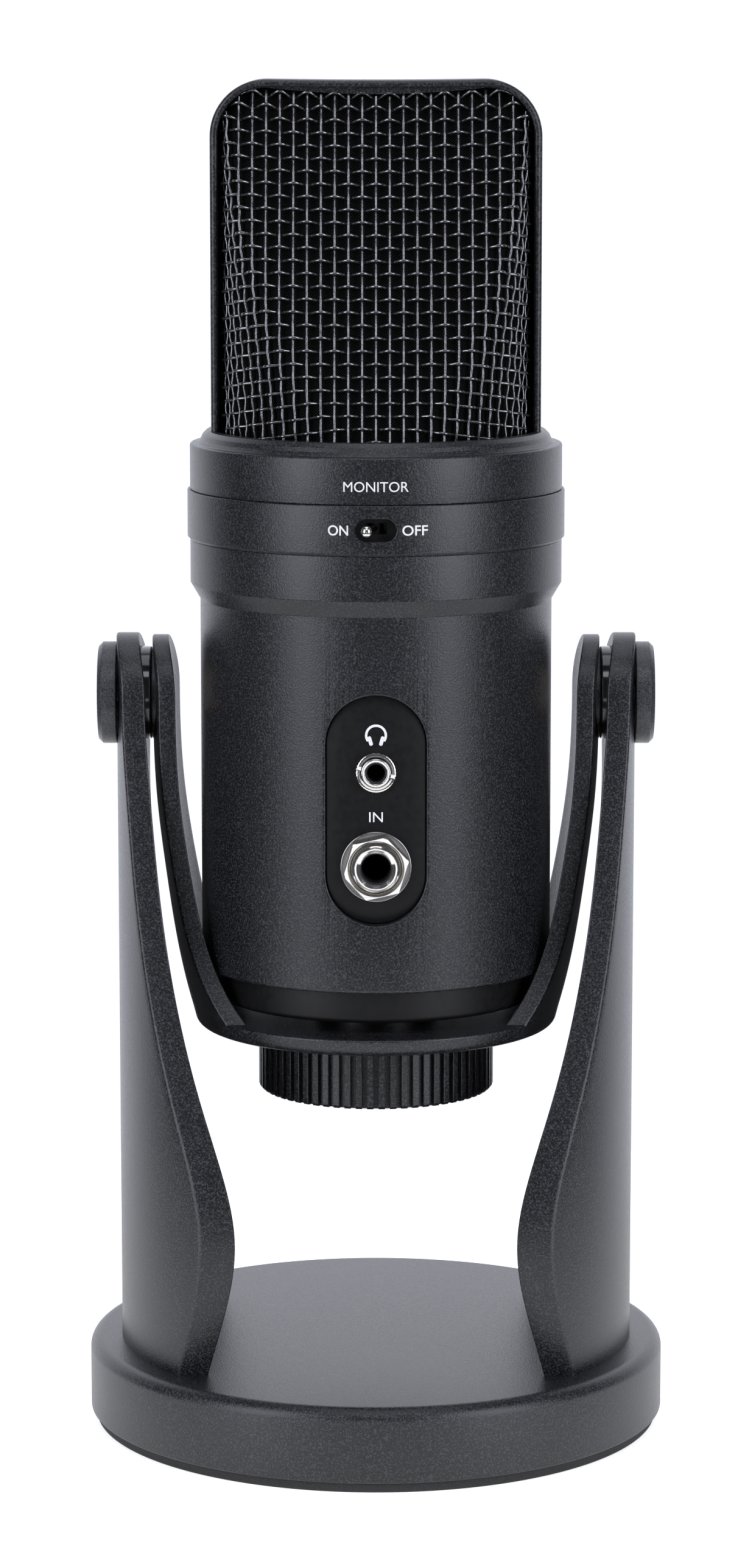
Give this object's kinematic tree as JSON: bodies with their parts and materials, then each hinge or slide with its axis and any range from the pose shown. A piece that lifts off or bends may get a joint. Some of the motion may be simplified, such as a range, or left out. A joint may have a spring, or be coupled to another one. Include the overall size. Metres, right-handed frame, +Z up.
{
  "type": "desktop microphone",
  "caption": "Side-address desktop microphone with a woven wedge head, held in a tilting yoke on a round weighted stand with two curved arms.",
  "frame": {"origin": "centre of the base where it stands on the table", "axes": "+Z up; the jack panel faces -Y, the level controls face +Y; the tilt axis runs along X"},
  "size_m": [0.12, 0.12, 0.2782],
  "materials": {
    "graphite_paint": "fine textured satin powder coat",
    "knob_paint": "fine textured satin",
    "gloss_black": "smooth gloss",
    "black_plastic": "smooth matte",
    "knob_plastic": "fine matte with fluted sides",
    "button_plastic": "satin",
    "switch_plastic": "moulded matte",
    "foam_rubber": "closed-cell foam",
    "soft_rubber": "soft moulded",
    "steel": "zinc plated",
    "nickel": "nickel plate",
    "socket_nickel": "nickel plate with black inside",
    "brass": "machined",
    "capsule_gold": "gold film",
    "capsule_band": "anodised",
    "grille_wire": "dark woven wire, semi-gloss",
    "grille_cloth": "fine black weave",
    "circuit_board": "solder mask",
    "light_guide": "translucent"
  },
  "bodies": {
    "stand": {"base_casting": "graphite_paint", "base_weight": "steel", "base_pad": "foam_rubber", "arm_screws": "steel", "weight_screws": "steel", "stand_arm_left": "graphite_paint", "stand_arm_right": "graphite_paint", "pivot_washer_left": "gloss_black", "pivot_washer_right": "gloss_black"},
    "left_knob": {"pivot_knob_left": "knob_paint", "pivot_bolt_left": "steel"},
    "right_knob": {"pivot_knob_right": "knob_paint", "pivot_bolt_right": "steel"},
    "cradle": {"yoke": "graphite_paint", "pivot_insert_left": "brass", "pivot_insert_right": "brass"},
    "microphone": {"body_shell": "graphite_paint", "boss_screws": "steel", "bottom_cap": "black_plastic", "capsule_front": "capsule_gold", "capsule_mount": "soft_rubber", "capsule_rear": "capsule_gold", "capsule_ring": "capsule_band", "chassis": "black_plastic", "chassis_screws": "steel", "control_board": "circuit_board", "control_panel": "black_plastic", "control_ring": "graphite_paint", "grille_frame": "graphite_paint", "grille_liner_front": "grille_cloth", "grille_liner_rear": "grille_cloth", "grille_mesh_front": "grille_wire", "grille_mesh_rear": "grille_wire", "head_collar": "graphite_paint", "head_floor": "black_plastic", "headphone_jack": "socket_nickel", "headphone_nut": "nickel", "instrument_jack": "socket_nickel", "instrument_nut": "nickel", "instrument_washer": "nickel", "jack_board": "circuit_board", "jack_panel": "black_plastic", "main_board": "circuit_board", "monitor_switch_body": "switch_plastic", "mount_boss": "steel", "mute_switch_body": "switch_plastic", "pattern_switch_body": "switch_plastic", "potentiometers": "switch_plastic", "status_light": "light_guide", "usb_board": "circuit_board", "usb_socket": "nickel"},
    "ring_nut": {"lock_ring": "graphite_paint"},
    "monitor_lever": {"monitor_switch_lever": "nickel"},
    "volume_control": {"volume_knob": "knob_plastic"},
    "mic_level_control": {"mic_level_knob": "knob_plastic"},
    "instrument_level_control": {"instrument_level_knob": "knob_plastic"},
    "mute_key": {"mute_button": "button_plastic"},
    "pattern_selector": {"pattern_slider": "knob_plastic"}
  },
  "joints": [
    {"name": "left_knob_turn", "type": "hinge", "parent": "stand", "child": "left_knob", "pos_m": [-0.0532, 0, 0.1529], "axis": [-1, 0, 0], "range_deg": [0, 180]},
    {"name": "right_knob_turn", "type": "hinge", "parent": "stand", "child": "right_knob", "pos_m": [0.0532, 0, 0.1529], "axis": [1, 0, 0], "range_deg": [0, 180]},
    {"name": "cradle_tilt", "type": "hinge", "parent": "stand", "child": "cradle", "pos_m": [0, 0, 0.1529], "axis": [1, 0, 0], "range_deg": [-140, 140]},
    {"name": "microphone_swivel", "type": "hinge", "parent": "cradle", "child": "microphone", "pos_m": [0, 0, 0.0875], "axis": [0, 0, 1], "continuous": true},
    {"name": "ring_nut_turn", "type": "hinge", "parent": "microphone", "child": "ring_nut", "pos_m": [0, 0, 0.077], "axis": [0, 0, 1], "continuous": true},
    {"name": "monitor_lever_throw", "type": "hinge", "parent": "microphone", "child": "monitor_lever", "pos_m": [0, -0.0325, 0.1904], "axis": [0, 0, 1], "range_deg": [0, 27]},
    {"name": "volume_turn", "type": "hinge", "parent": "microphone", "child": "volume_control", "pos_m": [0, 0.0348, 0.1498], "axis": [0, 1, 0], "range_deg": [-150, 150]},
    {"name": "mic_level_turn", "type": "hinge", "parent": "microphone", "child": "mic_level_control", "pos_m": [0, 0.0348, 0.1354], "axis": [0, 1, 0], "range_deg": [-150, 150]},
    {"name": "instrument_level_turn", "type": "hinge", "parent": "microphone", "child": "instrument_level_control", "pos_m": [0, 0.0348, 0.121], "axis": [0, 1, 0], "range_deg": [-150, 150]},
    {"name": "mute_press", "type": "slide", "parent": "microphone", "child": "mute_key", "axis": [0, -1, 0], "range_m": [0, 0.001], "stiffness_N_per_m": 500, "springref_m": -0.0004},
    {"name": "pattern_slide", "type": "slide", "parent": "microphone", "child": "pattern_selector", "axis": [1, 0, 0], "range_m": [-0.003, 0.003]}
  ]
}
